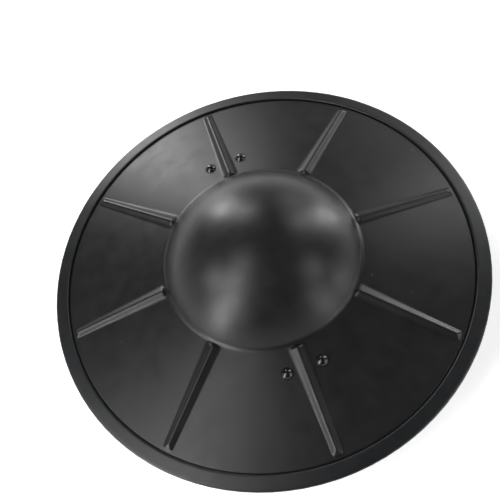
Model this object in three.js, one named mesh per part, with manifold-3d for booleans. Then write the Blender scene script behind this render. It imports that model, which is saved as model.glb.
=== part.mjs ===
// Buckler: a small round hand shield of pressed steel, lying boss up on the face of its grip.
// Millimetres, +Z up. The origin is under the centre of the boss, on the surface that it lies on.

import * as THREE from 'three';
import * as BufferGeometryUtils from 'three/addons/utils/BufferGeometryUtils.js';
import Module from 'manifold-3d';

const wasm = await Module();
wasm.setup();

const radians = THREE.MathUtils.degToRad;

// Driving sizes of the sheet
const DISC_RADIUS = 165;
const SHEET = 1.6;
const FLANGE_SLOPE = radians(10);
const HEM_WIDTH = 10.5;
const LIP_BEVEL = 0.4;

// Driving sizes of the boss
const BOSS_RADIUS = 73.4;
const BOSS_WALL_ANGLE = radians(58);
const BOSS_FILLET = 5;

// Driving sizes of the ribs
const RIB_COUNT = 8;
const RIB_HEIGHT = 2.2;
const RIB_FOOT_INNER = 9.6;
const RIB_FOOT_OUTER = 8;
const RIB_CREST = 2;
const RIB_TO_BOSS = 2.6;
const RIB_TO_HEM = 2.6;
const RIB_INNER_RUN = 2.4;
const RIB_OUTER_RUN = 4;

// Driving sizes of the handle
const STRAP_THICKNESS = 3;
const STRAP_WIDTH = 26;
const STRAP_BEHIND_RIM = 25;
const STRAP_BEND = 5;
const STRAP_SHOULDER = 4;
const NECK_ROUND = 12;
const PLATE_RADIUS = 25;
const PLATE_PAST_BOSS = 10.6;
const LEG_INSIDE_BOSS = 6.4;

// Driving sizes of the wooden scales
const GRIP_LENGTH = 108;
const GRIP_WIDTH = 26.6;
const OUTER_SCALE_THICKNESS = 13;
const INNER_SCALE_THICKNESS = 7;
const SCALE_CORNER = 4.2;
const OUTER_EDGE_ROUND = 3;
const INNER_EDGE_ROUND = 2.4;

// Driving sizes of the rivets and pins
const RIVET_FROM_PLATE_SIDE = 12.3;
const RIVET_FROM_PLATE_TIP = 18;
const RIVET_SHANK = 2.2;
const RIVET_HEAD_RADIUS = 4.4;
const RIVET_HEAD_HEIGHT = 3;
const PEENED_HEAD_RADIUS = 5.6;
const PEENED_HEAD_HEIGHT = 2;
const PIN_SPACING = 57.4;
const PIN_SHANK = 2.4;
const PIN_HEAD_RADIUS = 5.4;
const PIN_HEAD_THICKNESS = 1.8;
const PIN_HEAD_BEVEL = 0.6;
const PIN_RECESS = 0.3;

// Clearances
const SEAT_GAP = 0.1;
const FIT_GAP = 0.3;

// Fineness of the curved surfaces
const DOME_STEPS = 9;
const FILLET_STEPS = 3;
const EDGE_STEPS = 4;
const STEPS_BETWEEN_RIBS = 6;
const ROUND_SIDES = 16;
const CORNER_STEPS = 4;
const HEAD_STEPS = 3;
const SCALE_EDGE_STEPS = 3;
const BEND_STEPS = 4;
const PLATE_STEP = radians(12);
const PLATE_SWEEP = radians(144);
const NECK_STEPS = 4;
const LEAST_STATION_GAP = 0.2;
const LEAST_CORNER = 0.2;

// Differences under these are rounding, in millimetres
const MERGE_WITHIN = 1e-4;
const ROUNDING = 1e-6;

// A cutter this long passes through any one piece at its bore and meets nothing else of it
const CUT_THROUGH = 40;

// Levels worked out from the driving sizes, all above the surface that the grip lies on
const strapUnderside = OUTER_SCALE_THICKNESS + SEAT_GAP;
const strapTop = strapUnderside + STRAP_THICKNESS;
const rimLevel = strapTop + STRAP_BEHIND_RIM;
const slopeTan = Math.tan(FLANGE_SLOPE);
const sheetDrop = SHEET / Math.cos(FLANGE_SLOPE);

function flangeFront(radius) {
  return rimLevel + (DISC_RADIUS - radius) * slopeTan;
}

const creaseLevel = flangeFront(BOSS_RADIUS);
const domeRadius = BOSS_RADIUS / Math.sin(BOSS_WALL_ANGLE);
const domeCentre = creaseLevel - domeRadius * Math.cos(BOSS_WALL_ANGLE);

const steelPaint = new THREE.MeshStandardMaterial({ color: 0x1d1e20, roughness: 0.42, metalness: 0.2 });
const rivetSteel = new THREE.MeshStandardMaterial({ color: 0x17181a, roughness: 0.3, metalness: 0.6 });
const wood = new THREE.MeshStandardMaterial({ color: 0xcdaa70, roughness: 0.6, metalness: 0 });
const brightSteel = new THREE.MeshStandardMaterial({ color: 0xcfd0d0, roughness: 0.3, metalness: 1 });

// A clean closed mesh of shared vertices, with no triangle that has lost a side
function closedMesh(geometry) {
  const bare = geometry.clone();
  bare.deleteAttribute('normal');
  bare.deleteAttribute('uv');
  const merged = BufferGeometryUtils.mergeVertices(bare, MERGE_WITHIN);
  const index = merged.index.array;
  const kept = [];
  for (let i = 0; i < index.length; i += 3) {
    const [a, b, c] = [index[i], index[i + 1], index[i + 2]];
    if (a !== b && b !== c && c !== a) kept.push(a, b, c);
  }
  merged.setIndex(kept);
  return merged;
}

function toManifold(geometry) {
  const mesh = closedMesh(geometry);
  return new wasm.Manifold(new wasm.Mesh({
    numProp: 3,
    vertProperties: new Float32Array(mesh.attributes.position.array),
    triVerts: new Uint32Array(mesh.index.array),
  }));
}

function toGeometry(solid) {
  const mesh = solid.getMesh();
  const geometry = new THREE.BufferGeometry();
  geometry.setAttribute('position', new THREE.BufferAttribute(mesh.vertProperties, 3));
  geometry.setIndex(new THREE.BufferAttribute(mesh.triVerts, 1));
  geometry.computeVertexNormals();
  return geometry;
}

function drill(geometry, cutters) {
  let solid = toManifold(geometry);
  for (const cutter of cutters) {
    solid = solid.subtract(toManifold(cutter));
  }
  return toGeometry(solid);
}

// A solid of revolution about Z, from points of radius and height
function turned(points, sides = ROUND_SIDES) {
  const geometry = new THREE.LatheGeometry(points, sides);
  geometry.rotateX(Math.PI / 2);
  return closedMesh(geometry);
}

// A skin over rings of equally many points, closed by a flat cap at each end
function loft(rings) {
  const count = rings[0].length;
  const positions = rings.flat().flatMap((p) => [p.x, p.y, p.z]);
  const index = [];
  for (let row = 0; row < rings.length - 1; row += 1) {
    for (let i = 0; i < count; i += 1) {
      const a = row * count + i;
      const b = row * count + ((i + 1) % count);
      index.push(a, b, b + count, a, b + count, a + count);
    }
  }
  const last = (rings.length - 1) * count;
  for (let i = 1; i < count - 1; i += 1) {
    index.push(0, i + 1, i);
    index.push(last, last + i, last + i + 1);
  }
  const geometry = new THREE.BufferGeometry();
  geometry.setAttribute('position', new THREE.Float32BufferAttribute(positions, 3));
  geometry.setIndex(index);
  return geometry;
}

function arc(centreX, centreY, radius, from, to, steps) {
  const points = [];
  for (let i = 0; i <= steps; i += 1) {
    const angle = from + (to - from) * (i / steps);
    points.push(new THREE.Vector2(centreX + radius * Math.cos(angle), centreY + radius * Math.sin(angle)));
  }
  return points;
}

// The fillet at the foot of the boss touches the dome and the flange: its centre, from the crease outward
function filletCentre() {
  const reach = domeRadius + BOSS_FILLET;
  const startR = BOSS_RADIUS + BOSS_FILLET * Math.sin(FLANGE_SLOPE);
  const startZ = creaseLevel + BOSS_FILLET * Math.cos(FLANGE_SLOPE) - domeCentre;
  const along = startR * Math.cos(FLANGE_SLOPE) - startZ * Math.sin(FLANGE_SLOPE);
  const run = -along + Math.sqrt(along ** 2 - startR ** 2 - startZ ** 2 + reach ** 2);
  return new THREE.Vector2(
    startR + run * Math.cos(FLANGE_SLOPE),
    startZ + domeCentre - run * Math.sin(FLANGE_SLOPE),
  );
}

const ribStart = BOSS_RADIUS + RIB_TO_BOSS;
const ribFull = ribStart + RIB_INNER_RUN;
const hemInner = DISC_RADIUS - HEM_WIDTH;
const ribEnd = hemInner - RIB_TO_HEM;
const ribFullOuter = ribEnd - RIB_OUTER_RUN;

// Half of the sheet's section, one face: the dome, the fillet at its foot, then the flange's rings.
// The depth is how far this face lies under the front one.
function faceProfile(depth) {
  const fillet = filletCentre();
  const wallAngle = Math.atan2(fillet.y - domeCentre, fillet.x);
  const dome = arc(0, domeCentre, domeRadius - depth, Math.PI / 2, wallAngle, DOME_STEPS);
  dome[0].x = 0;
  const flangeAngle = Math.PI * 1.5 - FLANGE_SLOPE;
  const foot = arc(fillet.x, fillet.y, BOSS_FILLET + depth, wallAngle + Math.PI, flangeAngle, FILLET_STEPS);
  const drop = depth / Math.cos(FLANGE_SLOPE);
  const rings = [ribStart, ribFull, ribFullOuter, ribEnd];
  const flange = rings.map((radius) => new THREE.Vector2(radius, flangeFront(radius) - drop));
  return [...dome, ...foot.slice(1), ...flange];
}

// The rim: the sheet is folded over onto the front, so the edge is round and two sheets thick
function hemProfile() {
  const lip = new THREE.Vector2(hemInner, flangeFront(hemInner));
  const edgeRadius = DISC_RADIUS - SHEET;
  const edgeLevel = flangeFront(edgeRadius);
  const [under, over] = [-Math.PI / 2 - FLANGE_SLOPE, Math.PI / 2 - FLANGE_SLOPE];
  return [
    new THREE.Vector2(hemInner, lip.y - sheetDrop),
    ...arc(edgeRadius, edgeLevel, SHEET, under, over, EDGE_STEPS),
    new THREE.Vector2(hemInner + LIP_BEVEL, flangeFront(hemInner + LIP_BEVEL) + sheetDrop),
    new THREE.Vector2(hemInner, lip.y + sheetDrop - LIP_BEVEL),
    lip,
  ];
}

// One sector's columns: the lines of a rib, which are foot, crest, crest and foot, then the plain flange
const RIB_LINES = 4;
const columnsPerRib = RIB_LINES - 1 + STEPS_BETWEEN_RIBS;

function ribFootHalf(radius) {
  const share = THREE.MathUtils.clamp((radius - ribFull) / (ribFullOuter - ribFull), 0, 1);
  return THREE.MathUtils.lerp(RIB_FOOT_INNER, RIB_FOOT_OUTER, share) / 2;
}

function columnAngle(column, radius) {
  const sector = (Math.PI * 2) / RIB_COUNT;
  const rib = Math.floor(column / columnsPerRib);
  const step = column % columnsPerRib;
  const axis = Math.PI / 2 + rib * sector;
  const ring = THREE.MathUtils.clamp(radius, ribStart, ribEnd);
  const foot = Math.asin(ribFootHalf(ring) / ring);
  const crest = Math.asin(RIB_CREST / 2 / ring);
  if (step < RIB_LINES) return axis + [-foot, -crest, crest, foot][step];
  const share = (step - RIB_LINES + 1) / STEPS_BETWEEN_RIBS;
  return axis + foot + share * (sector - 2 * foot);
}

function ribRise(column, radius) {
  const step = column % columnsPerRib;
  const onCrest = step === 1 || step === 2;
  const onRib = radius > ribFull - ROUNDING && radius < ribFullOuter + ROUNDING;
  return onCrest && onRib ? RIB_HEIGHT : 0;
}

// The sheet is turned from its section, then each ring's points are moved to the ribs' lines and raised
function shieldGeometry() {
  const profile = [...faceProfile(SHEET), ...hemProfile(), ...faceProfile(0).reverse()];
  const columns = RIB_COUNT * columnsPerRib;
  const geometry = new THREE.LatheGeometry(profile, columns);
  const position = geometry.attributes.position;
  for (let column = 0; column <= columns; column += 1) {
    profile.forEach((point, row) => {
      const angle = columnAngle(column % columns, point.x);
      const rise = ribRise(column % columns, point.x);
      position.setXYZ(
        column * profile.length + row,
        point.x * Math.cos(angle),
        point.x * Math.sin(angle),
        point.y + rise,
      );
    });
  }
  return geometry;
}

// Places of the plates, rivets and pins
const plateCentre = BOSS_RADIUS + PLATE_PAST_BOSS;
const plateSag = (slopeTan * PLATE_RADIUS ** 2) / (2 * plateCentre);
const rivetRow = plateCentre + PLATE_RADIUS - RIVET_FROM_PLATE_TIP;
const rivetSide = PLATE_RADIUS - RIVET_FROM_PLATE_SIDE;

function plateTop(distance) {
  return flangeFront(distance) - sheetDrop - plateSag - FIT_GAP / Math.cos(FLANGE_SLOPE);
}

// The line that the strap's middle layer follows, from the centre of the grip out to one end
function strapPath() {
  const middle = strapUnderside + STRAP_THICKNESS / 2;
  const innerBend = new THREE.Vector2(GRIP_LENGTH / 2 + STRAP_SHOULDER, middle);
  const outerBendAt = BOSS_RADIUS - LEG_INSIDE_BOSS;
  const halfDrop = STRAP_THICKNESS / 2 / Math.cos(FLANGE_SLOPE);
  const outerBend = new THREE.Vector2(outerBendAt, plateTop(outerBendAt) - halfDrop);
  const tipAt = plateCentre + PLATE_RADIUS * Math.cos(FLANGE_SLOPE);
  const tip = new THREE.Vector2(tipAt, plateTop(tipAt) - halfDrop);
  const legAngle = Math.atan2(outerBend.y - innerBend.y, outerBend.x - innerBend.x);
  const innerRun = STRAP_BEND * Math.tan(legAngle / 2);
  const outerRun = STRAP_BEND * Math.tan((legAngle + FLANGE_SLOPE) / 2);
  const outwards = new THREE.Vector2(Math.cos(legAngle), Math.sin(legAngle));
  const legEnd = outerBend.clone().addScaledVector(outwards, -outerRun);
  const path = new THREE.Path();
  path.moveTo(0, middle);
  path.lineTo(innerBend.x - innerRun, middle);
  path.absarc(innerBend.x - innerRun, middle + STRAP_BEND, STRAP_BEND, -Math.PI / 2, legAngle - Math.PI / 2);
  path.lineTo(legEnd.x, legEnd.y);
  path.absarc(
    legEnd.x + STRAP_BEND * Math.sin(legAngle),
    legEnd.y - STRAP_BEND * Math.cos(legAngle),
    STRAP_BEND,
    legAngle + Math.PI / 2,
    Math.PI / 2 - FLANGE_SLOPE,
    true,
  );
  path.lineTo(tip.x, tip.y);
  return path;
}

// Half width of the strap's flat blank at a distance in from its round end
function strapHalfWidth(fromEnd) {
  const half = STRAP_WIDTH / 2;
  const neckX = half + NECK_ROUND;
  const neckAt = Math.sqrt((PLATE_RADIUS + NECK_ROUND) ** 2 - neckX ** 2);
  const tangentAt = (neckAt * PLATE_RADIUS) / (PLATE_RADIUS + NECK_ROUND);
  const fromCentre = fromEnd - PLATE_RADIUS;
  if (fromCentre < tangentAt) return Math.sqrt(PLATE_RADIUS ** 2 - fromCentre ** 2);
  if (fromCentre < neckAt) return neckX - Math.sqrt(NECK_ROUND ** 2 - (neckAt - fromCentre) ** 2);
  return half;
}

// Distances from the strap's end at which it gets a ring
function strapStations(path) {
  const length = path.getLength();
  const stations = [];
  for (let angle = PLATE_STEP / 2; angle < PLATE_SWEEP; angle += PLATE_STEP) {
    stations.push(PLATE_RADIUS * (1 - Math.cos(angle)));
  }
  let reached = 0;
  for (const curve of path.curves) {
    const run = curve.getLength();
    const steps = curve.isEllipseCurve ? BEND_STEPS : 1;
    for (let i = 0; i <= steps; i += 1) {
      stations.push(length - reached - (run * i) / steps);
    }
    reached += run;
  }
  const neckAt = Math.sqrt((PLATE_RADIUS + NECK_ROUND) ** 2 - (STRAP_WIDTH / 2 + NECK_ROUND) ** 2);
  for (let i = 0; i < NECK_STEPS - 1; i += 1) {
    stations.push(PLATE_RADIUS + neckAt - (NECK_ROUND * i) / NECK_STEPS);
  }
  const first = PLATE_RADIUS * (1 - Math.cos(PLATE_STEP / 2));
  const sorted = stations.filter((at) => at >= first - ROUNDING).sort((a, b) => a - b);
  return sorted.filter((at, i) => i === 0 || at - sorted[i - 1] > LEAST_STATION_GAP);
}

function strapGeometry() {
  const path = strapPath();
  const length = path.getLength();
  const ring = (fromEnd, side) => {
    const share = THREE.MathUtils.clamp(1 - fromEnd / length, 0, 1);
    const at = path.getPoint(share);
    const along = path.getTangent(share);
    const half = strapHalfWidth(fromEnd);
    const thick = STRAP_THICKNESS / 2;
    const corner = (x, n) => new THREE.Vector3(x, side * (at.x - along.y * n), at.y + along.x * n);
    return [corner(-half, -thick), corner(half, -thick), corner(half, thick), corner(-half, thick)];
  };
  const stations = strapStations(path);
  const near = stations.map((at) => ring(at, -1));
  const far = stations.slice(0, -1).reverse().map((at) => ring(at, 1));
  return loft([...near, ...far].reverse());
}

// A rounded oblong, drawn in from its full size by the inset
function oblong(halfX, halfY, corner, inset, level) {
  const points = [];
  const radius = Math.max(corner - inset, LEAST_CORNER);
  const [x, y] = [halfX - inset - radius, halfY - inset - radius];
  const centres = [[x, y], [-x, y], [-x, -y], [x, -y]];
  centres.forEach(([centreX, centreY], quarter) => {
    const from = (quarter * Math.PI) / 2;
    for (const point of arc(centreX, centreY, radius, from, from + Math.PI / 2, CORNER_STEPS)) {
      points.push(new THREE.Vector3(point.x, point.y, level));
    }
  });
  return points;
}

// A wooden scale: flat where it meets the strap, with a rounded edge round its outer face
function scaleRings(thickness, edgeRound) {
  const edge = arc(edgeRound, thickness - edgeRound, edgeRound, Math.PI, Math.PI / 2, SCALE_EDGE_STEPS);
  return [new THREE.Vector2(0, 0), ...edge].map((point) => (
    oblong(GRIP_WIDTH / 2, GRIP_LENGTH / 2, SCALE_CORNER, point.x, point.y)
  ));
}

function scaleGeometry(thickness, edgeRound) {
  const boreRadius = PIN_SHANK + FIT_GAP;
  const bore = new THREE.CylinderGeometry(boreRadius, boreRadius, CUT_THROUGH, ROUND_SIDES);
  bore.rotateX(Math.PI / 2);
  const pocketRadius = PIN_HEAD_RADIUS + FIT_GAP;
  const pocket = new THREE.CylinderGeometry(pocketRadius, pocketRadius, thickness, ROUND_SIDES);
  pocket.rotateX(Math.PI / 2);
  const pocketFloor = thickness - PIN_RECESS - PIN_HEAD_THICKNESS - FIT_GAP;
  pocket.translate(0, 0, pocketFloor + thickness / 2);
  const cutters = [];
  for (const side of [1, -1]) {
    cutters.push(bore.clone().translate(0, (side * PIN_SPACING) / 2, 0));
    cutters.push(pocket.clone().translate(0, (side * PIN_SPACING) / 2, 0));
  }
  return drill(loft(scaleRings(thickness, edgeRound)), cutters);
}

// A rivet along Z: the round head stands on the front of the sheet, the peened one behind the plate
const rivetFoot = new THREE.Vector2(rivetRow, flangeFront(Math.hypot(rivetRow, rivetSide)));
const plateBack = plateTop(rivetRow) - STRAP_THICKNESS / Math.cos(FLANGE_SLOPE);
const rivetGrip = (rivetFoot.y - plateBack) * Math.cos(FLANGE_SLOPE);

function headProfile(radius, height) {
  const bulge = (radius ** 2 + height ** 2) / (2 * height);
  const sweep = Math.asin(radius / bulge);
  const points = [];
  for (let i = 0; i <= HEAD_STEPS; i += 1) {
    const angle = (sweep * i) / HEAD_STEPS;
    points.push(new THREE.Vector2(bulge * Math.sin(angle), height - bulge + bulge * Math.cos(angle)));
  }
  points[0].x = 0;
  return points;
}

function rivetGeometry() {
  const front = headProfile(RIVET_HEAD_RADIUS, RIVET_HEAD_HEIGHT);
  const back = headProfile(PEENED_HEAD_RADIUS, PEENED_HEAD_HEIGHT);
  const points = [
    ...back.map((p) => new THREE.Vector2(p.x, -rivetGrip - FIT_GAP - p.y)),
    new THREE.Vector2(RIVET_SHANK, -rivetGrip - FIT_GAP),
    new THREE.Vector2(RIVET_SHANK, FIT_GAP),
    ...front.reverse().map((p) => new THREE.Vector2(p.x, p.y + FIT_GAP)),
  ];
  return turned(points);
}

function rivetPlaces() {
  const places = [];
  for (const end of [1, -1]) {
    for (const side of [1, -1]) {
      places.push({
        position: new THREE.Vector3(side * rivetSide, end * rivetFoot.x, rivetFoot.y),
        tilt: -end * FLANGE_SLOPE,
      });
    }
  }
  return places;
}

function rivetBores(radius) {
  return rivetPlaces().map(({ position, tilt }) => {
    const bore = new THREE.CylinderGeometry(radius, radius, CUT_THROUGH, ROUND_SIDES);
    bore.rotateX(Math.PI / 2);
    bore.rotateX(tilt);
    return bore.translate(position.x, position.y, position.z);
  });
}

function strapPinBores() {
  const radius = PIN_SHANK + FIT_GAP;
  return [1, -1].map((side) => {
    const bore = new THREE.CylinderGeometry(radius, radius, CUT_THROUGH, ROUND_SIDES);
    bore.rotateX(Math.PI / 2);
    return bore.translate(0, (side * PIN_SPACING) / 2, strapUnderside + STRAP_THICKNESS / 2);
  });
}

// A pin of the grip, from its head in the outer scale up to its head in the inner one
const innerScaleTop = strapTop + SEAT_GAP + INNER_SCALE_THICKNESS;

function pinGeometry() {
  const low = PIN_RECESS;
  const high = innerScaleTop - PIN_RECESS;
  const rim = PIN_HEAD_RADIUS - PIN_HEAD_BEVEL;
  return turned([
    new THREE.Vector2(0, low),
    new THREE.Vector2(rim, low),
    new THREE.Vector2(PIN_HEAD_RADIUS, low + PIN_HEAD_BEVEL),
    new THREE.Vector2(PIN_HEAD_RADIUS, low + PIN_HEAD_THICKNESS),
    new THREE.Vector2(PIN_SHANK, low + PIN_HEAD_THICKNESS),
    new THREE.Vector2(PIN_SHANK, high - PIN_HEAD_THICKNESS),
    new THREE.Vector2(PIN_HEAD_RADIUS, high - PIN_HEAD_THICKNESS),
    new THREE.Vector2(PIN_HEAD_RADIUS, high - PIN_HEAD_BEVEL),
    new THREE.Vector2(rim, high),
    new THREE.Vector2(0, high),
  ]);
}

function named(name, geometry, material) {
  const mesh = new THREE.Mesh(geometry, material);
  mesh.name = name;
  return mesh;
}

const buckler = new THREE.Group();

const shield = named('shield', drill(shieldGeometry(), rivetBores(RIVET_SHANK + FIT_GAP)), steelPaint);
buckler.add(shield);

const strapCutters = [...rivetBores(RIVET_SHANK + FIT_GAP), ...strapPinBores()];
buckler.add(named('handle_strap', drill(strapGeometry(), strapCutters), steelPaint));

const outerScale = named('grip_scale_outer', scaleGeometry(OUTER_SCALE_THICKNESS, OUTER_EDGE_ROUND), wood);
outerScale.rotation.y = Math.PI;
outerScale.position.z = OUTER_SCALE_THICKNESS;
buckler.add(outerScale);

const innerScale = named('grip_scale_inner', scaleGeometry(INNER_SCALE_THICKNESS, INNER_EDGE_ROUND), wood);
innerScale.position.z = strapTop + SEAT_GAP;
buckler.add(innerScale);

rivetPlaces().forEach(({ position, tilt }, i) => {
  const rivet = named(`shield_rivet_${i + 1}`, rivetGeometry(), rivetSteel);
  rivet.position.copy(position);
  rivet.rotation.x = tilt;
  buckler.add(rivet);
});

[1, -1].forEach((side, i) => {
  const pin = named(`grip_pin_${i + 1}`, pinGeometry(), brightSteel);
  pin.position.y = (side * PIN_SPACING) / 2;
  buckler.add(pin);
});

export default buckler;
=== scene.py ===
"""The buckler's looks: black satin paint over pressed steel, a folded rim, and a strap handle with
pale wooden scales. It lies boss up on its grip. Lengths are in millimetres up to the point where a
mesh is made."""

import math

import bmesh
import bpy
import numpy as np
from mathutils import Matrix, Vector


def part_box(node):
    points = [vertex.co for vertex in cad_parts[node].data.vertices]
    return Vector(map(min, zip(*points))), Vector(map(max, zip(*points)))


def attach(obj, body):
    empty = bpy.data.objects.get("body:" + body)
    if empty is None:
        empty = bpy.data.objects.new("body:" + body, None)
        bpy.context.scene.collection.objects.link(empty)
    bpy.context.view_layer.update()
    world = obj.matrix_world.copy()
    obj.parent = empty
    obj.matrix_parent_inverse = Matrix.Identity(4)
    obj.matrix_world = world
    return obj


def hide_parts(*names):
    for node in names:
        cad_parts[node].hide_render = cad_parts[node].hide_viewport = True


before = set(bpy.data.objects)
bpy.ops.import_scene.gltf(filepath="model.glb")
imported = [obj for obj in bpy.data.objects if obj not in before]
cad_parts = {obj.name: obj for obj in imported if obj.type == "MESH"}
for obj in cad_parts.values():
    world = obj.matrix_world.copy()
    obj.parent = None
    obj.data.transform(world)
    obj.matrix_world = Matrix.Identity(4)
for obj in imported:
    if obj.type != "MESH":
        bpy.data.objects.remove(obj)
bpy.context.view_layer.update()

MM = 0.001

# The sheet
DISC_RADIUS = (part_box("shield")[1].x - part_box("shield")[0].x) / 2 / MM
SHEET = 1.6
FLANGE_SLOPE = math.radians(10)
RIM_LEVEL = 41.1
HEM_WIDTH = 10.5
BOSS_RADIUS = 73.4
BOSS_WALL_ANGLE = math.radians(58)
BOSS_FILLET = 5.0
LIP_WANDER = 0.07

# The ribs
RIB_COUNT = 8
RIB_HEIGHT = 2.2
RIB_FOOT_INNER = 9.6
RIB_FOOT_OUTER = 8.0
RIB_START = 74.0
RIB_FULL = 77.8
RIB_FULL_OUTER = 147.9
RIB_END = 151.9
RIB_CREST_SOFTNESS = 1.8
RIB_FOOT_SOFTNESS_INNER = 1.7
RIB_FOOT_SOFTNESS_OUTER = 0.5
RIB_OUTER_SQUARENESS = 4.0

# The handle
STRAP_THICKNESS = 3.0
STRAP_WIDTH = 26.0
STRAP_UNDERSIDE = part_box("handle_strap")[0].z / MM
STRAP_BEND = 5.0
STRAP_BEND_AT = 58.0
LEG_END_AT = 67.0
NECK_ROUND = 12.0
PLATE_RADIUS = 25.0
PLATE_CENTRE = 84.0
STRAP_EDGE_ROUND = 0.6
FIT_GAP = 0.3

# The wooden scales
GRIP_LENGTH = 108.0
GRIP_WIDTH = 26.6
SCALE_CORNER = 4.2
OUTER_SCALE_THICKNESS = 13.0
OUTER_EDGE_ROUND = 3.0
INNER_SCALE_THICKNESS = 7.0
INNER_EDGE_ROUND = 2.4
INNER_SCALE_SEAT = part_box("grip_scale_inner")[0].z / MM
SEAT_CHAMFER = 0.3
LEAST_CORNER = 0.2
GRAIN_SWAY = 6.0

# The rivets and pins
RIVET_ROW = 91.0
RIVET_SIDE = 12.7
RIVET_SHANK = 2.2
RIVET_HEAD_RADIUS = 4.4
RIVET_HEAD_HEIGHT = 3.0
PEENED_HEAD_RADIUS = 5.6
PEENED_HEAD_HEIGHT = 2.0
PEENED_DIMPLE = 0.9
PEENED_BELOW = 49.0
PIN_AT = 28.7
PIN_SHANK = 2.4
PIN_HEAD_RADIUS = 5.4
PIN_HEAD_THICKNESS = 1.8
PIN_RECESS = 0.3
PIN_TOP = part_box("grip_pin_1")[1].z / MM
PIN_POCKET_GAP = 0.1
SEATED = 0.12

# Places where the paint is rubbed: the middle, how far it reaches and how strongly
RUBBED_SPOTS = [
    ((141, 46, 44), 6, 0.9),
    ((120, 12, 49), 9, 0.5),
    ((-20, -112, 50), 12, 0.5),
    ((89, -67, 51), 5, 0.9),
]

# Small nicks through the paint: the middle and the radius
NICKS = [
    ((68, -46, 56), 1.1),
    ((89, -67, 51), 0.9),
    ((141, 46, 44), 1.0),
    ((131, 20, 46.5), 0.7),
    ((-118, -22, 49), 0.8),
]

# A wiped streak across one sector, painted lighter as a painted sheen: an arc by its centre, radius
# and breadth, and the middle and reach of the part of it that shows
WIPE_SHEEN_CENTRE = (-30, 66, 55)
WIPE_SHEEN_RADIUS = 44.0
WIPE_SHEEN_BREADTH = 3.2
WIPE_SHEEN_MIDDLE = (-47, 106, 49)
WIPE_SHEEN_REACH = 26.0

SLOPE_TAN = math.tan(FLANGE_SLOPE)
SHEET_DROP = SHEET / math.cos(FLANGE_SLOPE)
HEM_INNER = DISC_RADIUS - HEM_WIDTH


def flange_front(radius):
    return RIM_LEVEL + (DISC_RADIUS - radius) * SLOPE_TAN


CREASE_LEVEL = flange_front(BOSS_RADIUS)
DOME_RADIUS = BOSS_RADIUS / math.sin(BOSS_WALL_ANGLE)
DOME_CENTRE = CREASE_LEVEL - DOME_RADIUS * math.cos(BOSS_WALL_ANGLE)


# Fineness of the meshes, and the angle in degrees under which their shading is smooth
DOME_STEPS_FRONT = 52
DOME_STEPS_BACK = 34
FILLET_STEPS = 12
ROUND_SIDES = 40
BORE_SIDES = 48
SCALE_CORNER_STEPS = 10
SCALE_EDGE_STEPS = 10
STRAP_EDGE_STEPS = 4
STRAP_BEND_STEPS = 10
SMOOTH_BELOW = 40
ROUNDING = 1e-9


# Mesh helpers


def make_piece(name, vertices, faces, material):
    """A mesh object from points in millimetres, with its faces turned outwards."""
    mesh = bpy.data.meshes.new(name)
    mesh.from_pydata([tuple(c * MM for c in v) for v in vertices], [], faces)
    tidy = bmesh.new()
    tidy.from_mesh(mesh)
    bmesh.ops.recalc_face_normals(tidy, faces=tidy.faces)
    tidy.to_mesh(mesh)
    tidy.free()
    piece = bpy.data.objects.new(name, mesh)
    bpy.context.scene.collection.objects.link(piece)
    mesh.materials.append(material)
    return piece


def smooth(piece):
    piece.data.shade_smooth()
    piece.data.set_sharp_from_angle(angle=math.radians(SMOOTH_BELOW))


def lathe(points, axis):
    """Points of (radius, height) turned about Z, then moved by the axis's matrix. A point of
    radius 0 becomes a pole."""
    sides = ROUND_SIDES
    vertices, rows = [], []
    for radius, height in points:
        if radius < ROUNDING:
            rows.append([len(vertices)] * sides)
            vertices.append((0, 0, height))
        else:
            rows.append(list(range(len(vertices), len(vertices) + sides)))
            for i in range(sides):
                turn = 2 * math.pi * i / sides
                vertices.append(
                    (radius * math.cos(turn), radius * math.sin(turn), height)
                )
    faces = []
    for low, high in zip(rows[:-1], rows[1:]):
        for i in range(sides):
            j = (i + 1) % sides
            ring = [low[i], low[j], high[j], high[i]]
            faces.append(tuple(dict.fromkeys(ring)))
    return [tuple(axis @ Vector(v)) for v in vertices], faces


def arc(centre, radius, start, end, steps):
    """Points of a circle in a section, from one angle to another, both ends included."""
    turns = np.linspace(start, end, steps + 1)
    return [
        (centre[0] + radius * math.cos(t), centre[1] + radius * math.sin(t))
        for t in turns
    ]


def bore(piece, cutters):
    """Cuts each (centre, axis, radius, length), in millimetres, out of the piece."""
    tools = []
    for centre, axis, radius, length in cutters:
        cylinder = bmesh.new()
        turn = Vector((0, 0, 1)).rotation_difference(Vector(axis))
        place = Matrix.Translation(Vector(centre) * MM) @ turn.to_matrix().to_4x4()
        bmesh.ops.create_cone(
            cylinder,
            cap_ends=True,
            segments=BORE_SIDES,
            radius1=radius * MM,
            radius2=radius * MM,
            depth=length * MM,
            matrix=place,
        )
        mesh = bpy.data.meshes.new("cutter")
        cylinder.to_mesh(mesh)
        cylinder.free()
        tool = bpy.data.objects.new("cutter", mesh)
        bpy.context.scene.collection.objects.link(tool)
        tools.append(tool)
        cut = piece.modifiers.new("bore", "BOOLEAN")
        cut.operation = "DIFFERENCE"
        cut.solver = "EXACT"
        cut.object = tool
    bpy.context.view_layer.update()
    graph = bpy.context.evaluated_depsgraph_get()
    cut_mesh = bpy.data.meshes.new_from_object(piece.evaluated_get(graph))
    piece.modifiers.clear()
    piece.data = cut_mesh
    for tool in tools:
        bpy.data.objects.remove(tool)
    return piece


# Materials


def new_material(name):
    material = bpy.data.materials.new(name)
    material.use_nodes = True
    return material, material.node_tree, material.node_tree.nodes["Principled BSDF"]


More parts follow.
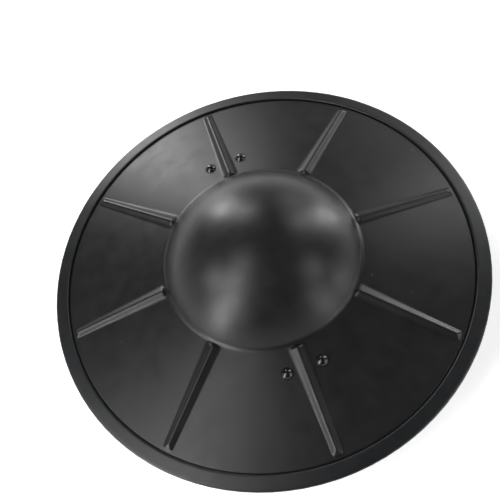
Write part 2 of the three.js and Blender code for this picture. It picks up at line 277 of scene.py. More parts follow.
def add(tree, kind, settings=None, **inputs):
    """A node of that kind. Settings are its own properties. Inputs are values or sockets, by name,
    or by number where the name is an underscore and digits."""
    node = tree.nodes.new(kind)
    for key, value in (settings or {}).items():
        setattr(node, key, value)
    for key, value in inputs.items():
        name = key.replace("_", " ")
        socket = node.inputs[int(key[1:])] if key[1:].isdigit() else node.inputs[name]
        if isinstance(value, bpy.types.NodeSocket):
            tree.links.new(value, socket)
        else:
            socket.default_value = value
    return node


def place(tree, scale=(1, 1, 1)):
    """The point on the object, in metres, stretched by the scale."""
    where = add(tree, "ShaderNodeTexCoord").outputs["Object"]
    if scale == (1, 1, 1):
        return where
    mapping = add(tree, "ShaderNodeMapping", Vector=where)
    mapping.inputs["Scale"].default_value = scale
    return mapping.outputs["Vector"]


def noise(tree, where, scale, detail=4.0, roughness=0.5):
    return add(
        tree,
        "ShaderNodeTexNoise",
        Vector=where,
        Scale=scale,
        Detail=detail,
        Roughness=roughness,
    ).outputs["Fac"]


def remap(tree, value, low, high, to_low, to_high):
    return add(
        tree,
        "ShaderNodeMapRange",
        Value=value,
        From_Min=low,
        From_Max=high,
        To_Min=to_low,
        To_Max=to_high,
    ).outputs["Result"]


def mix_colour(tree, share, first, second):
    return add(
        tree, "ShaderNodeMix", {"data_type": "RGBA"}, _0=share, _6=first, _7=second
    ).outputs[2]


def maths(tree, operation, first, second=0.0):
    return add(
        tree, "ShaderNodeMath", {"operation": operation}, _0=first, _1=second
    ).outputs["Value"]


def bump(tree, height, distance, below=None):
    node = add(
        tree, "ShaderNodeBump", Strength=1.0, Distance=distance * MM, Height=height
    )
    if below is not None:
        tree.links.new(below, node.inputs["Normal"])
    return node.outputs["Normal"]


def add_vectors(tree, operation, first, second):
    return add(
        tree, "ShaderNodeVectorMath", {"operation": operation}, _0=first, _1=second
    )


def spot(tree, where, centre, radius):
    """1 at the centre, in millimetres, falling to 0 at the radius."""
    middle = tuple(c * MM for c in centre)
    away = add_vectors(tree, "DISTANCE", where, middle).outputs["Value"]
    return remap(tree, away, radius * 0.35 * MM, radius * MM, 1, 0)


def wiped_sheen(tree, where):
    """A faint curved streak where the paint was wiped, uneven along its length. Its lighter colour
    is a painted sheen.
    """
    middle = tuple(c * MM for c in WIPE_SHEEN_CENTRE)
    away = add_vectors(tree, "DISTANCE", where, middle).outputs["Value"]
    uneven = remap(tree, noise(tree, where, 90.0, detail=3.0), 0.3, 0.7, -3, 3)
    away = maths(tree, "ADD", away, maths(tree, "MULTIPLY", uneven, MM))
    off = maths(tree, "ABSOLUTE", maths(tree, "SUBTRACT", away, WIPE_SHEEN_RADIUS * MM))
    streak = remap(tree, off, 0, WIPE_SHEEN_BREADTH * MM, 1, 0)
    near = spot(tree, where, WIPE_SHEEN_MIDDLE, WIPE_SHEEN_REACH)
    broken = remap(tree, noise(tree, where, 160.0, detail=3.0), 0.35, 0.6, 0.15, 1)
    return maths(tree, "MULTIPLY", maths(tree, "MULTIPLY", streak, near), broken)


def facing_front(tree):
    """1 where the surface faces the front, 0 where it faces the back."""
    normal = add(tree, "ShaderNodeNewGeometry").outputs["Normal"]
    upwards = add(tree, "ShaderNodeSeparateXYZ", Vector=normal).outputs["Z"]
    return remap(tree, upwards, 0.0, 0.3, 0, 1)


def front_band(tree, where):
    """1 on the front of the folded rim, past the lip and above the flange's cone, 0 elsewhere."""
    flat = add_vectors(tree, "MULTIPLY", where, (1, 1, 0)).outputs["Vector"]
    radius = add_vectors(tree, "LENGTH", flat, (0, 0, 0)).outputs["Value"]
    past_lip = remap(tree, radius, (HEM_INNER - 0.3) * MM, (HEM_INNER + 0.2) * MM, 0, 1)
    height = add(tree, "ShaderNodeSeparateXYZ", Vector=where).outputs["Z"]
    over = maths(tree, "ADD", height, maths(tree, "MULTIPLY", radius, SLOPE_TAN))
    cone = flange_front(0) * MM
    above = remap(tree, over, cone - 0.4 * MM, cone + 0.4 * MM, 0, 1)
    return maths(tree, "MULTIPLY", past_lip, above)


def paint_material():
    """Satin black paint: soft orange peel, rubbed places, nicks, a wiped mark painted lighter as a
    painted sheen, a duller rim.
    """
    material, tree, shader = new_material("satin_black_paint")
    where = place(tree)
    clouds = noise(tree, where, 38.0)
    base = mix_colour(
        tree,
        remap(tree, clouds, 0.35, 0.65, 0, 1),
        (0.0118, 0.0118, 0.0122, 1),
        (0.0152, 0.0152, 0.0155, 1),
    )
    on_rim = front_band(tree, where)
    base = mix_colour(tree, on_rim, base, (0.0115, 0.0124, 0.0136, 1))
    rubbed = 0.0
    for centre, reach, strength in RUBBED_SPOTS:
        one = maths(tree, "MULTIPLY", spot(tree, where, centre, reach), strength)
        rubbed = maths(tree, "ADD", rubbed, one)
    specks = noise(tree, where, 420.0, detail=3.0, roughness=0.7)
    patches = remap(tree, noise(tree, where, 26.0), 0.58, 0.70, 0, 0.6)
    scuffs = maths(
        tree,
        "MULTIPLY",
        remap(tree, specks, 0.66, 0.76, 0, 1),
        maths(tree, "ADD", patches, rubbed),
    )
    base = mix_colour(tree, scuffs, base, (0.10, 0.10, 0.10, 1))
    front = facing_front(tree)
    # The wiped streak is painted lighter on the front: a painted sheen where the wipe catches the
    # light.
    wipe_sheen = maths(tree, "MULTIPLY", wiped_sheen(tree, where), front)
    base = mix_colour(tree, wipe_sheen, base, (0.055, 0.055, 0.056, 1))
    nicked = 0.0
    for centre, radius in NICKS:
        nicked = maths(tree, "MAXIMUM", nicked, spot(tree, where, centre, radius))
    nicked = maths(tree, "MULTIPLY", nicked, front)
    base = mix_colour(tree, nicked, base, (0.07, 0.07, 0.068, 1))
    tree.links.new(base, shader.inputs["Base Color"])
    satin = remap(tree, noise(tree, where, 95.0), 0.3, 0.7, 0.32, 0.39)
    satin = maths(tree, "ADD", satin, remap(tree, on_rim, 0, 1, 0, 0.03))
    satin = maths(tree, "ADD", satin, remap(tree, scuffs, 0, 1, 0, 0.15))
    tree.links.new(satin, shader.inputs["Roughness"])
    waves = bump(tree, noise(tree, where, 22.0, detail=1.0), 0.05)
    peel = bump(tree, noise(tree, where, 700.0, detail=2.0), 0.012, waves)
    tree.links.new(peel, shader.inputs["Normal"])
    return material


def rivet_material():
    """Glossy black paint on the round heads, worn steel on the peened ends behind the plates."""
    material, tree, shader = new_material("rivet_black_and_worn_steel")
    where = place(tree)
    tone = noise(tree, where, 300.0)
    patch = remap(tree, tone, 0.35, 0.65, 0, 1)
    black = mix_colour(tree, patch, (0.008, 0.008, 0.009, 1), (0.012, 0.012, 0.012, 1))
    worn = mix_colour(tree, patch, (0.07, 0.07, 0.068, 1), (0.16, 0.16, 0.155, 1))
    height = add(tree, "ShaderNodeSeparateXYZ", Vector=where).outputs["Z"]
    behind = remap(tree, height, PEENED_BELOW * MM, (PEENED_BELOW + 0.5) * MM, 1, 0)
    base = mix_colour(tree, behind, black, worn)
    tree.links.new(base, shader.inputs["Base Color"])
    tree.links.new(behind, shader.inputs["Metallic"])
    gloss = remap(tree, tone, 0.3, 0.7, 0.17, 0.24)
    gloss = maths(tree, "ADD", gloss, maths(tree, "MULTIPLY", behind, 0.20))
    tree.links.new(gloss, shader.inputs["Roughness"])
    shader.inputs["Specular IOR Level"].default_value = 0.75
    dents = bump(tree, noise(tree, where, 500.0, detail=2.0), 0.03)
    tree.links.new(dents, shader.inputs["Normal"])
    return material


def wood_material():
    """Pale straw-coloured wood, straight-grained along the grip."""
    material, tree, shader = new_material("straw_wood")
    drawn_out = place(tree, (1.0, 0.05, 1.0))
    sway = maths(tree, "MULTIPLY", noise(tree, place(tree), 18.0), GRAIN_SWAY * MM)
    drift = add_vectors(tree, "ADD", drawn_out, sway).outputs["Vector"]
    bands = noise(tree, drift, 420.0, detail=5.0, roughness=0.62)
    base = mix_colour(
        tree,
        remap(tree, bands, 0.34, 0.66, 0, 1),
        (0.330, 0.222, 0.092, 1),
        (0.585, 0.440, 0.232, 1),
    )
    patches = noise(tree, place(tree, (1.0, 0.4, 1.0)), 60.0, detail=2.0)
    base = mix_colour(
        tree, remap(tree, patches, 0.4, 0.7, 0, 0.3), base, (0.46, 0.33, 0.16, 1)
    )
    streaks = noise(
        tree, place(tree, (1.0, 0.03, 1.0)), 1300.0, detail=2.0, roughness=0.6
    )
    pores = remap(tree, streaks, 0.58, 0.70, 0, 0.6)
    base = mix_colour(tree, pores, base, (0.20, 0.125, 0.052, 1))
    tree.links.new(base, shader.inputs["Base Color"])
    tree.links.new(
        remap(tree, bands, 0.3, 0.7, 0.58, 0.46), shader.inputs["Roughness"]
    )
    grain = bump(tree, bands, 0.05)
    dips = bump(tree, maths(tree, "SUBTRACT", 1.0, pores), 0.04, grain)
    tree.links.new(dips, shader.inputs["Normal"])
    return material


def pin_material():
    """Bright steel, filed round its centre."""
    material, tree, shader = new_material("filed_bright_steel")
    where = place(tree)
    tone = noise(tree, where, 450.0)
    base = mix_colour(
        tree,
        remap(tree, tone, 0.35, 0.65, 0, 1),
        (0.60, 0.60, 0.585, 1),
        (0.74, 0.735, 0.715, 1),
    )
    tree.links.new(base, shader.inputs["Base Color"])
    shader.inputs["Metallic"].default_value = 1.0
    tree.links.new(
        remap(tree, tone, 0.3, 0.7, 0.24, 0.38), shader.inputs["Roughness"]
    )
    filed = noise(tree, place(tree, (1.0, 0.08, 1.0)), 2600.0, detail=2.0)
    tree.links.new(bump(tree, filed, 0.02), shader.inputs["Normal"])
    return material


paint = paint_material()
rivet_paint = rivet_material()
wood = wood_material()
bright_steel = pin_material()


# The sheet: dome, fillet, ribbed flange and folded rim, one closed skin


def fillet_centre():
    """The fillet at the boss's foot touches both the dome and the flange."""
    start_r = BOSS_RADIUS + BOSS_FILLET * math.sin(FLANGE_SLOPE)
    start_z = CREASE_LEVEL + BOSS_FILLET * math.cos(FLANGE_SLOPE) - DOME_CENTRE
    along = start_r * math.cos(FLANGE_SLOPE) - start_z * math.sin(FLANGE_SLOPE)
    reach = DOME_RADIUS + BOSS_FILLET
    run = -along + math.sqrt(along**2 - start_r**2 - start_z**2 + reach**2)
    return (
        start_r + run * math.cos(FLANGE_SLOPE),
        start_z + DOME_CENTRE - run * math.sin(FLANGE_SLOPE),
    )


FILLET = fillet_centre()
FLANGE_FROM = FILLET[0] - BOSS_FILLET * math.sin(FLANGE_SLOPE)
GROOVE_FROM = HEM_INNER - 1.5


def flange_rings():
    """Radii at which the flange gets a ring, close together at the ends of the ribs."""
    return np.concatenate(
        [
            np.linspace(FLANGE_FROM, RIB_FULL + 1.0, 9)[1:],
            np.linspace(RIB_FULL + 1.0, RIB_FULL_OUTER - 1.0, 17)[1:],
            np.linspace(RIB_FULL_OUTER - 1.0, GROOVE_FROM - 0.4, 14)[1:],
        ]
    )


def face_section(depth, dome_steps):
    """One face of the sheet, from the crown to the groove. Depth is how far it lies under the
    front one."""
    wall = math.atan2(FILLET[1] - DOME_CENTRE, FILLET[0])
    dome = arc((0, DOME_CENTRE), DOME_RADIUS - depth, math.pi / 2, wall, dome_steps)
    dome[0] = (0.0, dome[0][1])
    foot = arc(
        FILLET,
        BOSS_FILLET + depth,
        wall + math.pi,
        math.pi * 1.5 - FLANGE_SLOPE,
        FILLET_STEPS,
    )
    drop = depth / math.cos(FLANGE_SLOPE)
    flange = [(r, flange_front(r) - drop) for r in flange_rings()]
    return [*dome, *foot[1:], *flange]


def on_slope(along, above):
    """A point by its distance outwards from the lip and its height over the flange's front face."""
    cos, sin = math.cos(FLANGE_SLOPE), math.sin(FLANGE_SLOPE)
    return (
        HEM_INNER + along * cos + above * sin,
        flange_front(HEM_INNER) - along * sin + above * cos,
    )


# The rim's section: along the flange and above its front face. The sheet dips into a small
# groove, then a hair-thin gap runs in under the folded edge.
GROOVE = [
    (-1.5, 0.0),
    (-1.25, -0.06),
    (-1.0, -0.24),
    (-0.75, -0.46),
    (-0.45, -0.6),
    (-0.1, -0.62),
    (0.4, -0.5),
    (1.2, -0.12),
    (2.2, 0.0),
    (2.6, 0.08),
]
LIP = [
    (2.2, 0.2),
    (1.0, 0.22),
    (0.45, 0.24),
    (0.15, 0.32),
    (0.02, 0.45),
    (0.0, 0.6),
    (0.03, 0.85),
    (0.13, 1.1),
    (0.29, 1.31),
    (0.5, 1.47),
    (0.75, 1.57),
    (1.0, 1.6),
    (2.5, 1.6),
    (5.2, 1.6),
    (7.6, 1.6),
]

# The first points of the groove and the last ones of the lip stay round while the edge wanders
GROOVE_KEPT = 3
LIP_KEPT = 4


def rim_section():
    edge_along = (DISC_RADIUS - SHEET - HEM_INNER) / math.cos(FLANGE_SLOPE)
    edge = arc((edge_along, 0), SHEET, math.pi / 2, -math.pi / 2, 12)
    back = [(7.6, -SHEET), (4.0, -SHEET), (0.5, -SHEET)]
    return [on_slope(*p) for p in [*GROOVE, *LIP, *edge, *back]]


def along_rib(radius, inner, outer):
    """A size that changes evenly from a rib's inner end to its outer one."""
    share = np.clip((radius - RIB_FULL) / (RIB_FULL_OUTER - RIB_FULL), 0, 1)
    return inner + (outer - inner) * share


def foot_half(radius):
    return along_rib(radius, RIB_FOOT_INNER, RIB_FOOT_OUTER) / 2


def rib_rise(across, along):
    """How far a rib lifts the sheet, at a distance across from its line and at one along it from
    the disc's centre."""
    half = foot_half(along)
    beyond = np.maximum(along - RIB_FULL_OUTER, 0) * half / (RIB_END - RIB_FULL_OUTER)
    power = RIB_OUTER_SQUARENESS
    out = (np.abs(across) ** power + beyond**power) ** (1 / power)
    soft_out = np.sqrt(out**2 + RIB_CREST_SOFTNESS**2)
    roof = RIB_HEIGHT * (half - soft_out) / (half - RIB_CREST_SOFTNESS)
    soft = along_rib(along, RIB_FOOT_SOFTNESS_INNER, RIB_FOOT_SOFTNESS_OUTER)
    foot = np.maximum(soft - np.abs(roof), 0) ** 2 / soft / 4
    share = np.clip((along - RIB_START) / (RIB_FULL - RIB_START), 0, 1)
    return (np.maximum(roof, 0) + foot) * share**2 * (3 - 2 * share)


# Columns of one sector: across a rib, in halves of its foot, then over the plain flange
ACROSS_RIB = np.array(
    [0.1, 0.2, 0.3, 0.42, 0.55, 0.68, 0.8, 0.92, 1.04, 1.17, 1.32, 1.5, 1.7]
)
RIB_COLUMNS = np.concatenate([-ACROSS_RIB[::-1], [0.0], ACROSS_RIB])
PLAIN_COLUMNS = 10


def column_angles(radii):
    """The azimuth of each column at each radius."""
    ring = np.clip(radii, RIB_START, RIB_END)[:, None]
    half = foot_half(ring)
    near = np.arcsin(RIB_COLUMNS[None, :] * half / ring)
    sector = 2 * math.pi / RIB_COUNT
    reach = near[:, -1:]
    share = np.arange(1, PLAIN_COLUMNS + 1)[None, :] / (PLAIN_COLUMNS + 1)
    plain = reach + share * (sector - 2 * reach)
    one = np.concatenate([near, plain], axis=1)
    return np.concatenate(
        [math.pi / 2 + k * sector + one for k in range(RIB_COUNT)], axis=1
    )


def lip_wander(angles):
    """The folded edge isn't quite even: it wanders a little in and out."""
    return LIP_WANDER * (
        np.sin(5 * angles + 1.0)
        + 0.7 * np.sin(11 * angles + 2.3)
        + 0.5 * np.sin(23 * angles + 0.7)
    )


def shield_mesh():
    front = face_section(0, DOME_STEPS_FRONT)
    back = face_section(SHEET, DOME_STEPS_BACK)
    rim = rim_section()
    section = np.array([*front[1:], *rim, *back[:0:-1]])
    radii, levels = section[:, 0], section[:, 1]
    angles = column_angles(radii)
    axis_step = 2 * math.pi / RIB_COUNT
    off_axis = (angles - math.pi / 2 + axis_step / 2) % axis_step - axis_step / 2
    grid_r = np.repeat(radii[:, None], angles.shape[1], axis=1)
    rise = rib_rise(grid_r * np.sin(off_axis), grid_r * np.cos(off_axis))
    rim_from = len(front) - 1
    first_lip = rim_from + GROOVE_KEPT
    last_lip = rim_from + len(GROOVE) + len(LIP) - LIP_KEPT
    weight = np.zeros(len(section))
    weight[first_lip:last_lip] = 1.0
    grid_r = grid_r + weight[:, None] * lip_wander(angles)
    x, y = grid_r * np.cos(angles), grid_r * np.sin(angles)
    z = levels[:, None] + rise
    points = np.stack([x, y, z], axis=2).reshape(-1, 3)
    rows, columns = angles.shape
    vertices = [tuple(p) for p in points] + [
        (0.0, 0.0, front[0][1]),
        (0.0, 0.0, back[0][1]),
    ]
    crown, inside = rows * columns, rows * columns + 1
    faces = []
    for i in range(columns):
        j = (i + 1) % columns
        faces.append((crown, i, j))
        last = (rows - 1) * columns
        faces.append((inside, last + j, last + i))
        for row in range(rows - 1):
            a = row * columns
            faces.append((a + i, a + columns + i, a + columns + j, a + j))
    return vertices, faces


# The handle's strap: a flat blank with rounded edges and round ends, bent to its line


def plate_top(distance):
    sag = SLOPE_TAN * PLATE_RADIUS**2 / (2 * PLATE_CENTRE)
    gap = FIT_GAP / math.cos(FLANGE_SLOPE)
    return flange_front(distance) - SHEET_DROP - sag - gap


def strap_line():
    """The strap's middle line as straight runs and bends: kind, length and where it starts."""
    middle = STRAP_UNDERSIDE + STRAP_THICKNESS / 2
    half_drop = STRAP_THICKNESS / 2 / math.cos(FLANGE_SLOPE)
    inner = Vector((STRAP_BEND_AT, middle))
    outer = Vector((LEG_END_AT, plate_top(LEG_END_AT) - half_drop))
    tip_at = PLATE_CENTRE + PLATE_RADIUS * math.cos(FLANGE_SLOPE)
    tip = Vector((tip_at, plate_top(tip_at) - half_drop))
    leg = math.atan2(outer.y - inner.y, outer.x - inner.x)
    inner_run = STRAP_BEND * math.tan(leg / 2)
    outer_run = STRAP_BEND * math.tan((leg + FLANGE_SLOPE) / 2)
    up = Vector((math.cos(leg), math.sin(leg)))
    down = Vector((math.cos(FLANGE_SLOPE), -math.sin(FLANGE_SLOPE)))
    first_end = inner - Vector((inner_run, 0))
    leg_start = inner + up * inner_run
    leg_end = outer - up * outer_run
    plate_start = outer + down * outer_run
    return [
        ((0.0, middle), 0.0, 0.0, first_end.x),
        (tuple(first_end), 0.0, leg, STRAP_BEND * leg),
        (tuple(leg_start), leg, leg, (leg_end - leg_start).length),
        (tuple(leg_end), leg, -FLANGE_SLOPE, STRAP_BEND * (leg + FLANGE_SLOPE)),
        (
            tuple(plate_start),
            -FLANGE_SLOPE,
            -FLANGE_SLOPE,
            (tip - plate_start).length,
        ),
    ]


STRAP_RUNS = strap_line()
STRAP_REACH = sum(run[3] for run in STRAP_RUNS)


def strap_at(distance):
    """The point and heading of the strap's middle line at a distance from the grip's centre."""
    left = distance
    for start, heading, end_heading, length in STRAP_RUNS:
        if left <= length or start == STRAP_RUNS[-1][0]:
            break
        left -= length
    if abs(end_heading - heading) < ROUNDING:
        y = start[0] + left * math.cos(heading)
        z = start[1] + left * math.sin(heading)
        return y, z, heading
    turn = (end_heading - heading) * left / length
    side = math.copysign(STRAP_BEND, end_heading - heading)
    now = heading + turn
    y = start[0] + side * (math.sin(now) - math.sin(heading))
    z = start[1] - side * (math.cos(now) - math.cos(heading))
    return y, z, now


def strap_outline():
    """The flat blank's outline: (across, along) points and their outward directions, once round."""
    half = STRAP_WIDTH / 2
    neck_x = half + NECK_ROUND
    reach = PLATE_RADIUS + NECK_ROUND
    neck_at = math.sqrt(reach**2 - neck_x**2)
    centre = STRAP_REACH - PLATE_RADIUS
    quarter = [((half, 0.0), (1.0, 0.0))]
    for turn in np.linspace(0, math.atan2(neck_at, neck_x), 9):
        out = (math.cos(turn), -math.sin(turn))
        at = (neck_x - NECK_ROUND * out[0], centre - neck_at - NECK_ROUND * out[1])
        quarter.append((at, out))
    for turn in np.linspace(math.atan2(neck_x, -neck_at), 0, 40)[1:]:
        out = (math.sin(turn), math.cos(turn))
        quarter.append(((PLATE_RADIUS * out[0], centre + PLATE_RADIUS * out[1]), out))
    right_half = quarter + [((-x, y), (-a, b)) for (x, y), (a, b) in quarter[-2::-1]]
    rest = [((-x, -y), (-a, -b)) for (x, y), (a, b) in right_half[1:-1]]
    return right_half + rest


def rounded_edge(thickness, edge):
    """(inset, height) from the lower face's rim to the upper one's, with both corners round."""
    low = [
        (edge * (1 - math.sin(t)), edge * (1 - math.cos(t)) - thickness / 2)
        for t in np.linspace(0, math.pi / 2, STRAP_EDGE_STEPS + 1)
    ]
    return low + [(inset, -height) for inset, height in low[::-1]]


def strap_mesh():
    blank = bmesh.new()
    outline = strap_outline()
    rings = []
    for inset, height in rounded_edge(STRAP_THICKNESS, STRAP_EDGE_ROUND):
        rings.append(
            [
                blank.verts.new((x - inset * a, y - inset * b, height))
                for (x, y), (a, b) in outline
            ]
        )
    count = len(outline)
    for low, high in zip(rings[:-1], rings[1:]):
        for i in range(count):
            j = (i + 1) % count
            blank.faces.new((low[i], low[j], high[j], high[i]))
    blank.faces.new(rings[0][::-1])
    blank.faces.new(rings[-1])
    stations, reached = [], 0.0
    for _, heading, end_heading, length in STRAP_RUNS:
        bends = abs(end_heading - heading) > ROUNDING
        steps = STRAP_BEND_STEPS if bends else 1
        stations += [reached + length * i / steps for i in range(steps + 1)]
        reached += length
    for station in {round(side * s, 6) for s in stations for side in (-1, 1)}:
        if abs(station) < STRAP_REACH - 0.5:
            bmesh.ops.bisect_plane(
                blank,
                geom=[*blank.verts, *blank.edges, *blank.faces],
                dist=1e-5,
                plane_co=(0, station, 0),
                plane_no=(0, 1, 0),
            )
    bmesh.ops.triangulate(blank, faces=blank.faces)
    for vertex in blank.verts:
        side = math.copysign(1.0, vertex.co.y)
        y, z, heading = strap_at(abs(vertex.co.y))
        above = vertex.co.z
        vertex.co.y = side * (y - above * math.sin(heading))
        vertex.co.z = z + above * math.cos(heading)
    blank.verts.index_update()
    vertices = [tuple(v.co) for v in blank.verts]
    faces = [tuple(v.index for v in f.verts) for f in blank.faces]
    blank.free()
    return vertices, faces


# A wooden scale: flat on the strap, with a rounded edge round its outer face


def oblong(inset, level):
    corner = max(SCALE_CORNER - inset, LEAST_CORNER)
    x, y = GRIP_WIDTH / 2 - inset - corner, GRIP_LENGTH / 2 - inset - corner
    ring = []
    for quarter, (cx, cy) in enumerate([(x, y), (-x, y), (-x, -y), (x, -y)]):
        start = quarter * math.pi / 2
        points = arc((cx, cy), corner, start, start + math.pi / 2, SCALE_CORNER_STEPS)
        ring += [(px, py, level) for px, py in points]
    return ring


def scale_mesh(seat, thickness, edge_round, direction):
    """Seat is the level of the face on the strap, and the direction is 1 for a scale above it."""
    sections = [(SEAT_CHAMFER, 0.0), (0.0, SEAT_CHAMFER)]
    sections += [
        (edge_round * (1 - math.cos(t)), thickness - edge_round * (1 - math.sin(t)))
        for t in np.linspace(0, math.pi / 2, SCALE_EDGE_STEPS + 1)
    ]
    vertices, count = [], 0
    for inset, height in sections:
        ring = oblong(inset, seat + direction * height)
        count = len(ring)
        vertices += ring
    faces = [tuple(range(count))[::-1], tuple(range(len(vertices) - count, len(vertices)))]
    for row in range(len(sections) - 1):
        for i in range(count):
            j = (i + 1) % count
            a, b = row * count, (row + 1) * count
            faces.append((a + i, a + j, b + j, b + i))
    return vertices, faces


def rivet_section():
    """Along the axis, from the peened head behind the plate to the round one on the front."""
    plate_back = plate_top(RIVET_ROW) - STRAP_THICKNESS / math.cos(FLANGE_SLOPE)
    foot = flange_front(math.hypot(RIVET_ROW, RIVET_SIDE))
    grip = (foot - plate_back) * math.cos(FLANGE_SLOPE)
    peened = [
        (0.0, PEENED_HEAD_HEIGHT - PEENED_DIMPLE),
        (0.9, PEENED_HEAD_HEIGHT - PEENED_DIMPLE),
        (1.6, PEENED_HEAD_HEIGHT - PEENED_DIMPLE * 0.72),
        (2.1, PEENED_HEAD_HEIGHT - PEENED_DIMPLE * 0.25),
        (2.6, PEENED_HEAD_HEIGHT - 0.02),
        (3.2, PEENED_HEAD_HEIGHT),
        (4.0, PEENED_HEAD_HEIGHT * 0.93),
        (4.8, PEENED_HEAD_HEIGHT * 0.7),
        (5.3, PEENED_HEAD_HEIGHT * 0.36),
        (PEENED_HEAD_RADIUS, 0.12),
        (PEENED_HEAD_RADIUS - 0.1, 0.0),
    ]
    back_seat = -grip - SEATED
    bulge = (RIVET_HEAD_RADIUS**2 + RIVET_HEAD_HEIGHT**2) / (2 * RIVET_HEAD_HEIGHT)
    sweep = math.asin(RIVET_HEAD_RADIUS / bulge)
    dome = [
        (bulge * math.sin(t), SEATED + RIVET_HEAD_HEIGHT - bulge * (1 - math.cos(t)))
        for t in np.linspace(sweep, 0, 13)
    ]
    dome[-1] = (0.0, dome[-1][1])
    return [
        *[(r, back_seat - h) for r, h in peened],
        (RIVET_SHANK, back_seat),
        (RIVET_SHANK, SEATED),
        (RIVET_HEAD_RADIUS - 0.15, SEATED),
        *dome,
    ]


def rivet_place(side, end):
    """Where a rivet's axis meets the front of the sheet, turned to stand square on the cone."""
    at = Vector((side * RIVET_SIDE, end * RIVET_ROW))
    level = flange_front(at.length)
    outward = Vector((at.x, at.y, 0)).normalized()
    up = outward * math.sin(FLANGE_SLOPE) + Vector((0, 0, math.cos(FLANGE_SLOPE)))
    turn = Vector((0, 0, 1)).rotation_difference(up).to_matrix().to_4x4()
    return Matrix.Translation((at.x, at.y, level)) @ turn, up


def pin_section():
    low, high = PIN_RECESS, PIN_TOP
    head = [
        (0.0, 0.35),
        (0.35, 0.28),
        (0.75, 0.05),
        (1.0, 0.0),
        (3.2, 0.02),
        (4.5, 0.14),
        (5.05, 0.34),
        (PIN_HEAD_RADIUS, 0.7),
        (PIN_HEAD_RADIUS, PIN_HEAD_THICKNESS),
        (PIN_SHANK, PIN_HEAD_THICKNESS),
    ]
    return [(r, low + d) for r, d in head] + [(r, high - d) for r, d in head[::-1]]


# Building the pieces

BORE_GAP = 0.25
RIVET_BORE_LENGTH = 30.0
STRAP_BORE_LENGTH = 12.0
SCALE_BORE_LENGTH = 40.0
POCKET_CUT = 10.0
rivet_spots = [rivet_place(side, end) for end in (1, -1) for side in (1, -1)]
rivet_bores = [
    (spot.translation, up, RIVET_SHANK + BORE_GAP, RIVET_BORE_LENGTH)
    for spot, up in rivet_spots
]
strap_middle = STRAP_UNDERSIDE + STRAP_THICKNESS / 2


def pin_bores(level, radius, length):
    return [((0, side * PIN_AT, level), (0, 0, 1), radius, length) for side in (1, -1)]


shield = make_piece("shield_sheet", *shield_mesh(), paint)
bore(shield, rivet_bores)
strap = make_piece("handle_strap_body", *strap_mesh(), paint)
bore(strap, rivet_bores + pin_bores(strap_middle, PIN_SHANK + BORE_GAP, STRAP_BORE_LENGTH))

outer_scale = make_piece(
    "grip_scale_outer_wood",
    *scale_mesh(OUTER_SCALE_THICKNESS, OUTER_SCALE_THICKNESS, OUTER_EDGE_ROUND, -1),
    wood,
)
inner_scale = make_piece(
    "grip_scale_inner_wood",
    *scale_mesh(INNER_SCALE_SEAT, INNER_SCALE_THICKNESS, INNER_EDGE_ROUND, 1),
    wood,
)
pocket = PIN_HEAD_RADIUS + PIN_POCKET_GAP
head_depth = PIN_RECESS + PIN_HEAD_THICKNESS + PIN_POCKET_GAP
inner_pocket = PIN_TOP + PIN_RECESS - head_depth
bore(
    outer_scale,
    pin_bores(strap_middle, PIN_SHANK + BORE_GAP, SCALE_BORE_LENGTH)
    + pin_bores(head_depth - POCKET_CUT / 2, pocket, POCKET_CUT),
)
bore(
    inner_scale,
    pin_bores(strap_middle, PIN_SHANK + BORE_GAP, SCALE_BORE_LENGTH)
    + pin_bores(inner_pocket + POCKET_CUT / 2, pocket, POCKET_CUT),
)

rivets = [
    make_piece(
        f"shield_rivet_{i + 1}_body", *lathe(rivet_section(), spot), rivet_paint
    )
    for i, (spot, _) in enumerate(rivet_spots)
]
pins = [
    make_piece(
        f"grip_pin_{i + 1}_body",
        *lathe(pin_section(), Matrix.Translation((0, side * PIN_AT, 0))),
        bright_steel,
    )
    for i, side in enumerate((1, -1))
]

for piece, cad_node, slot in [
    (shield, "shield", "painted_steel"),
    (strap, "handle_strap", "painted_steel"),
    (outer_scale, "grip_scale_outer", "grip_wood"),
    (inner_scale, "grip_scale_inner", "grip_wood"),
    *[(r, f"shield_rivet_{i + 1}", "rivet_steel") for i, r in enumerate(rivets)],
    *[(p, f"grip_pin_{i + 1}", "bright_steel") for i, p in enumerate(pins)],
]:
    smooth(piece)
    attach(piece, "root")
    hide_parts(cad_node)


# The stage: a pale floor that glows a little, soft boxes round the object, and a pale band at
# the horizon

FLOOR_SIZE = 40.0
FLOOR_GLOW = 0.6
HORIZON_STRENGTH = 0.62
floor_mesh = bpy.data.meshes.new("floor")
floor_mesh.from_pydata(
    [
        (x * FLOOR_SIZE / 2, y * FLOOR_SIZE / 2, 0.0)
        for x, y in ((-1, -1), (1, -1), (1, 1), (-1, 1))
    ],
    [],
    [(0, 1, 2, 3)],
)
floor = bpy.data.objects.new("floor", floor_mesh)
bpy.context.scene.collection.objects.link(floor)
floor_paint, _, floor_shader = new_material("pale_floor")
floor_shader.inputs["Base Color"].default_value = (0.90, 0.90, 0.90, 1)
floor_shader.inputs["Roughness"].default_value = 0.9
floor_shader.inputs["Emission Color"].default_value = (1.0, 1.0, 1.0, 1)
floor_shader.inputs["Emission Strength"].default_value = FLOOR_GLOW
floor_mesh.materials.append(floor_paint)

world = bpy.data.worlds.new("studio_air")
bpy.context.scene.world = world
world.use_nodes = True
sky = world.node_tree
air = sky.nodes["Background"]
air.inputs["Color"].default_value = (1.0, 1.0, 1.0, 1)
direction = add(sky, "ShaderNodeTexCoord").outputs["Generated"]
upwards = add(sky, "ShaderNodeSeparateXYZ", Vector=direction).outputs["Z"]
sky.links.new(
    remap(sky, upwards, 0.10, 0.30, HORIZON_STRENGTH, 0.0), air.inputs["Strength"]
)

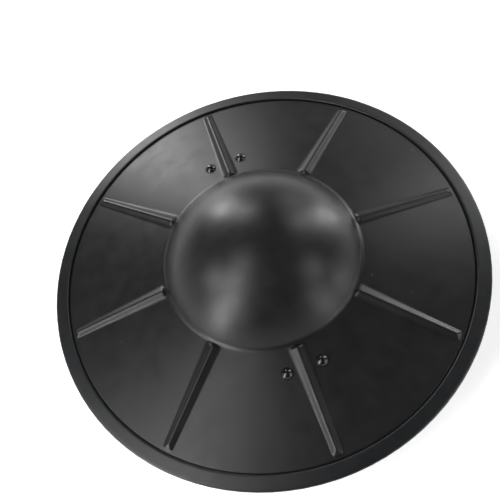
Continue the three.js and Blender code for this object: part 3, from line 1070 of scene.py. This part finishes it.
# Each soft box by its azimuth and elevation seen from the boss, in degrees, and its power
LIGHT_DISTANCE = 1.2
LIGHT_SIZE = 0.36
AIM = Vector((0, 0, 0.06))
SOFT_BOXES = [
    (26, 7, 2.4),
    (103, 7, 1.1),
    (206, 7, 1.45),
    (309, 7, 0.75),
    (334, 7, 0.75),
    (26, 22, 1.4),
    (51, 22, 0.55),
    (103, 22, 3.4),
    (206, 22, 3.3),
    (309, 22, 0.9),
    (30, 38, 1.1),
    (90, 38, 1.9),
    (180, 38, 1.8),
    (210, 38, 2.2),
    (330, 38, 1.05),
    (200, 54, 2.25),
    (180, 70, 1.15),
]


def soft_box(name, azimuth, elevation, power):
    light = bpy.data.lights.new(name, "AREA")
    light.shape = "DISK"
    light.size = LIGHT_SIZE
    light.energy = power
    box = bpy.data.objects.new(name, light)
    a, e = math.radians(azimuth), math.radians(elevation)
    out = Vector((math.cos(a) * math.cos(e), math.sin(a) * math.cos(e), math.sin(e)))
    box.location = AIM + out * LIGHT_DISTANCE
    box.rotation_euler = out.to_track_quat("Z", "Y").to_euler()
    bpy.context.scene.collection.objects.link(box)


for i, values in enumerate(SOFT_BOXES):
    soft_box(f"soft_box_{i + 1}", *values)

bpy.context.scene.view_settings.view_transform = "Standard"

# The camera, fitted to the photograph: it looks at the middle of the rim's plane
CAMERA_OFF_AXIS = math.radians(27.18)
CAMERA_ROLL = math.radians(19.83)
CAMERA_TURN = math.radians(-1.21)
CAMERA_DISTANCE = 0.495
CAMERA_LENS = 47.01
CAMERA_SHIFT = (-0.0289, 0.0276)

cos_off, sin_off = math.cos(CAMERA_OFF_AXIS), math.sin(CAMERA_OFF_AXIS)
cos_roll, sin_roll = math.cos(CAMERA_ROLL), math.sin(CAMERA_ROLL)
level_right = Vector((1, 0, 0))
level_up = Vector((0, cos_off, sin_off))
back = Vector((0, -sin_off, cos_off))
right = cos_roll * level_right - sin_roll * level_up
up = sin_roll * level_right + cos_roll * level_up
facing = Matrix((right, up, back)).transposed().to_4x4()
camera_data = bpy.data.cameras.new("camera")
camera_data.lens = CAMERA_LENS
camera_data.shift_x, camera_data.shift_y = CAMERA_SHIFT
camera = bpy.data.objects.new("camera", camera_data)
camera.matrix_world = (
    Matrix.Rotation(CAMERA_TURN, 4, "Z")
    @ Matrix.Translation(Vector((0, 0, RIM_LEVEL * MM)) + back * CAMERA_DISTANCE)
    @ facing
)
bpy.context.scene.collection.objects.link(camera)
bpy.context.scene.camera = camera
